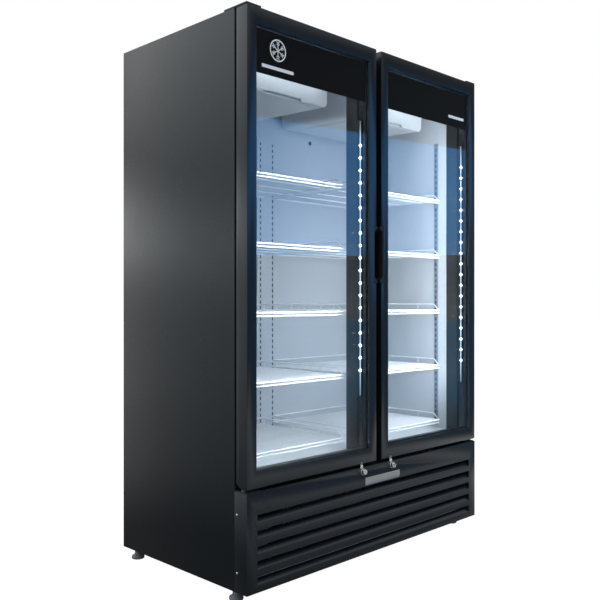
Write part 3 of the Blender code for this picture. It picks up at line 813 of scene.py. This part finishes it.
for side, sign in (("left", -1), ("right", 1)):
    softened(f"lock_barrel_{side}", chrome, f"lock_{side}", 0.0007)
    low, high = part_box(f"lock_barrel_{side}")
    middle = (low + high) / 2
    radius = (high.x - low.x) / 2
    rim = bmesh.new()
    inside, outside, rim_height = radius + 0.0004, radius + 0.0018, 0.0020
    profile = [(inside, 0.0), (outside, 0.0), (outside, 0.0012), (radius + 0.0012, rim_height)]
    profile += [(inside, rim_height), (inside, 0.0)]
    turn_profile(rim, profile, facing((0, -1, 0), (middle.x, grille_low.y, middle.z)), 40)
    show(rim, f"lock_rim_{side}", chrome, "cabinet")


# Hinges. A pressed plate over each top corner and a bracket below it carry the door's pins. Both are
# steel, powder coated black like the casing, and screwed to it.

for side in ("left", "right"):
    softened(f"top_hinge_{side}", powder_black, "cabinet", 0.0012)
    softened(f"bottom_hinge_{side}", powder_black, "cabinet", 0.0008)


# Doors. A black coated aluminium frame round a sealed double pane. A black band is printed across
# the top of the glass, a magnetic gasket runs round the back, and a lit strip stands on one stile.


def glass_finish():
    """Clear float glass: what is behind shows through, and the face mirrors more at a slant."""
    finish = bpy.data.materials.new("float_glass")
    bare_glass = blank_tree(finish)
    place = bare_glass.node("ShaderNodeTexCoord", output=3)
    smear = noise(place, 2.2, 4.0)
    through = bare_glass.node("ShaderNodeBsdfTransparent", None, {"Color": (0.955, 0.975, 0.98, 1.0)})
    mirror = bare_glass.node("ShaderNodeBsdfGlossy", None, {"Color": grey(1.0), "Roughness": 0.02})
    slant = bare_glass.node("ShaderNodeLayerWeight", None, {"Blend": 0.5}, 1)
    share = (0.034 + 0.9 * slant**5.0) * (0.9 + 0.2 * smear)
    mixed = bare_glass.node("ShaderNodeMixShader", None, {0: share, 1: through, 2: mirror})
    bare_glass.node("ShaderNodeOutputMaterial", None, {"Surface": mixed})
    return finish


def print_finish(name, low, high, rough):
    """Ceramic ink fired on the glass."""
    return coated_finish(name, low, high, rough, 2200.0, 0.00001)


def glow_finish(name, colour, strength, bottom, top):
    """A lit surface that fades out towards its two ends."""
    finish, shader, place = start_finish(name, (0.8, 0.85, 0.9), 0.4)
    height = place.node("ShaderNodeSeparateXYZ", None, {0: place}, 2)
    share = (height - bottom) * (1.0 / (top - bottom)) + 0.02 * noise(place, 30.0, 1.0)
    lit = (*colour, 1.0)
    dark = (0.0, 0.0, 0.0, 1.0)
    share.feed(shader, "Emission Color", ramp(share, (0.0, dark), (0.10, lit), (0.94, lit), (1.0, dark)))
    shader.inputs["Emission Strength"].default_value = strength
    return finish


float_glass = glass_finish()
band_ink = print_finish("band_ink", (0.0030, 0.0036, 0.0042), (0.0042, 0.0048, 0.0054), 0.40)
band_ink.node_tree.nodes["Principled BSDF"].inputs["Specular IOR Level"].default_value = 0.05
white_ink = print_finish("white_ink", (0.78, 0.80, 0.81), (0.84, 0.86, 0.87), 0.35)
rubber = coated_finish("gasket_rubber", (0.0060, 0.0062, 0.0066), (0.0100, 0.0102, 0.0106), 0.62, 400.0)
spacer_black = coated_finish("spacer_black", (0.010, 0.011, 0.012), (0.016, 0.017, 0.018), 0.5)
lens_low, lens_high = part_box("left_door_light_strip")
diffuser = glow_finish("lamp_diffuser", (0.62, 0.78, 1.0), 1.1, lens_low.z, lens_high.z)
lamp_dot = glow_finish("lamp_dot", (0.80, 0.91, 1.0), 14.0, lens_low.z - 1.0, lens_high.z + 1.0)

band_bottom = grille_low.z + 1.743
star_middle = Vector((grille_low.x + 0.149, 0.0, grille_low.z + 1.834))
left_bar = Vector((star_middle.x, 0.0, star_middle.z - 0.064))
right_bar = Vector((grille_low.x + 1.2336, 0.0, grille_low.z + 1.783))
ink, film_gap, band_thickness = 0.00015, 0.0002, 0.0006
spacer_width, band_inset = 0.008, 0.0085
dot_count, dot_pitch, first_dot = 19, 0.0486, 0.104


def ring_block(low, high, width):
    """A flat frame between two corners: a block whose front and back are inset and joined through."""
    shape = bmesh.new()
    add_block(shape, low, high)
    ends = [face for face in shape.faces if abs(face.normal.y) > 0.9]
    bmesh.ops.inset_individual(shape, faces=ends, thickness=width)
    bmesh.ops.bridge_loops(shape, edges=[edge for face in ends for edge in face.edges])
    bmesh.ops.delete(shape, geom=ends, context="FACES_ONLY")
    bmesh.ops.recalc_face_normals(shape, faces=shape.faces)
    return shape


def rounded(shape, width, segments):
    """Rounds every edge of a block."""
    bmesh.ops.bevel(
        shape,
        geom=shape.edges,
        offset=width,
        segments=segments,
        profile=0.5,
        affect="EDGES",
        material=-1,
    )


def flat_bar(shape, middle, length, height, thickness, turn=0.0):
    """A slim bar that faces forward, turned in its own plane."""
    place = Matrix.Translation(middle) @ Matrix.Rotation(turn, 4, "Y")
    size = Matrix.Diagonal((length, thickness, height, 1.0))
    bmesh.ops.create_cube(shape, size=1.0, matrix=place @ size)


def frost_star(front):
    """A generic snow crystal in a ring, for cold goods."""
    radius, hole = 0.038, 0.0335
    middle = Vector((star_middle.x, front - film_gap, star_middle.z))
    shape = bmesh.new()
    profile = [(hole, 0.0), (radius, 0.0), (radius, ink), (hole, ink), (hole, 0.0)]
    turn_profile(shape, profile, facing((0, -1, 0), middle), 56)
    for arm in range(6):
        angle = math.radians(60 * arm + 30)
        out = Vector((math.cos(angle), 0.0, -math.sin(angle)))
        flat_bar(shape, middle + out * 0.0145, 0.029, 0.0034, ink, angle)
        for branch, reach in ((0.9, 0.017), (-0.9, 0.017), (0.9, 0.0245), (-0.9, 0.0245)):
            turned = angle + branch
            arm_out = Vector((math.cos(turned), 0.0, -math.sin(turned)))
            flat_bar(shape, middle + out * reach + arm_out * 0.0045, 0.009, 0.0026, ink, turned)
    return shape


frame_low, frame_high = (0.0060, 0.0090, 0.0125), (0.0085, 0.0120, 0.0160)
frame_black = coated_finish("frame_black", frame_low, frame_high, 0.24, shine=0.70)

for side, sign in (("left", -1), ("right", 1)):
    body = f"{side}_door"
    softened(f"{body}_frame", frame_black, body, 0.0028, 3)
    for pane in ("outer_pane", "inner_pane"):
        dress(f"{body}_{pane}", float_glass)
    softened(f"{body}_gasket", rubber, body, 0.0022, 3)
    softened(f"{body}_grip", moulded_black, body, 0.0012)
    softened(f"{body}_lock_tab", chrome, body, 0.0009)

    outer_low, outer_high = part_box(f"{body}_outer_pane")
    inner_low, inner_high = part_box(f"{body}_inner_pane")
    spacer = ring_block(
        (outer_low.x, outer_high.y + film_gap, outer_low.z),
        (outer_high.x, inner_low.y - film_gap, outer_high.z),
        spacer_width,
    )
    show(spacer, f"{body}_spacer", spacer_black, body)
    band = bmesh.new()
    add_block(
        band,
        (outer_low.x + band_inset, outer_high.y + film_gap, band_bottom),
        (outer_high.x - band_inset, outer_high.y + film_gap + band_thickness, outer_high.z - band_inset),
    )
    show(band, f"{body}_top_band", band_ink, body)
    mark = frost_star(outer_low.y) if side == "left" else bmesh.new()
    bar, length, height = (left_bar, 0.150, 0.0115) if side == "left" else (right_bar, 0.118, 0.0120)
    flat_bar(mark, Vector((bar.x, outer_low.y - film_gap, bar.z)), length, height, ink)
    show(mark, f"{body}_print", white_ink, body)

    strip_low, strip_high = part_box(f"{body}_light_strip")
    strip = bmesh.new()
    add_block(strip, (strip_low.x + 0.0020, strip_low.y, strip_low.z), strip_high)
    rounded(strip, 0.002, 3)
    channel = show(strip, f"{body}_light_channel", moulded_black, body)
    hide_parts(f"{body}_light_strip")
    lens = bmesh.new()
    add_block(
        lens,
        (strip_low.x, strip_low.y + 0.0004, strip_low.z + 0.006),
        (strip_low.x + 0.0036, strip_low.y + 0.0034, strip_high.z - 0.006),
    )
    rounded(lens, 0.0008, 2)
    show(lens, f"{body}_light_lens", diffuser, body)
    dots = bmesh.new()
    profile = [(0.0, 0.0), (0.0050, 0.0), (0.0046, 0.0012), (0.0032, 0.0022), (0.0, 0.0027)]
    for index in range(dot_count):
        dot_z = strip_low.z + first_dot + dot_pitch * index
        place = (strip_low.x + 0.0012, strip_low.y + 0.0012, dot_z)
        turn_profile(dots, profile, facing((-1, -1, 0), place), 14)
    show(dots, f"{body}_lamp_dots", lamp_dot, body)


# Light from the doors' lamps. Each lit strip throws its light back and down into its bay, over the
# front edges of the shelves. Soft lamps without a mirror image stand for that light.

shelf_low, shelf_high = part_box("shelf_left_1")
bay_middle = (shelf_low + shelf_high) / 2
cover_low, cover_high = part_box("evaporator_housing_left")
cool = (0.93, 0.95, 1.0)
front_y = shelf_low.y - 0.080
bay_z = 1.19
cover_z = (cover_low.z + cover_high.z) / 2
cover_lamp_z = cover_z + 0.03
edge_spread = math.radians(70.0)
for side, sign, wall_power in (("left", -1, 0.3), ("right", 1, 2.6)):
    middle = -sign * bay_middle.x
    strip_x = middle + 0.28
    strip_place = (strip_x, front_y, bay_z)
    face_place = (middle, front_y, bay_z)
    cover_place = (middle, cover_low.y - 0.10, cover_lamp_z)
    glows = [
        ("strip", strip_place, (strip_x - 0.5, front_y + 0.3, bay_z), (0.03, 1.20), 1.1),
        ("face", face_place, (middle, shelf_high.y, bay_z), (0.52, 1.30), wall_power),
        ("cover", cover_place, (middle, cover_low.y, cover_z), (0.44, 0.04), 0.50),
    ]
    for level in range(1, 6):
        edge_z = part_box(f"shelf_{side}_{level}")[1].z
        place = (middle, shelf_low.y - 0.035, edge_z + 0.012)
        target = (middle, shelf_low.y + 0.025, edge_z - 0.07)
        edge_power = 0.15 if level == 1 else 0.46
        glows.append((f"edge_{level}", place, target, (0.56, 0.012), edge_power))
    for name, place, target, size, power in glows:
        glow_lamp = lamp(f"{side}_{name}_light", place, target, size, power, cool)
        glow_lamp.visible_glossy = False
        if name.startswith("edge"):
            glow_lamp.data.spread = edge_spread
wall_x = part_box("pilaster_right_front")[1].x
wall_place = (wall_x - 0.12, front_y, bay_z)
wall_target = (wall_x, front_y + 0.10, bay_z)
wall_lamp = lamp("right_wall_light", wall_place, wall_target, (0.02, 1.2), 1.1, cool)
wall_lamp.visible_glossy = False
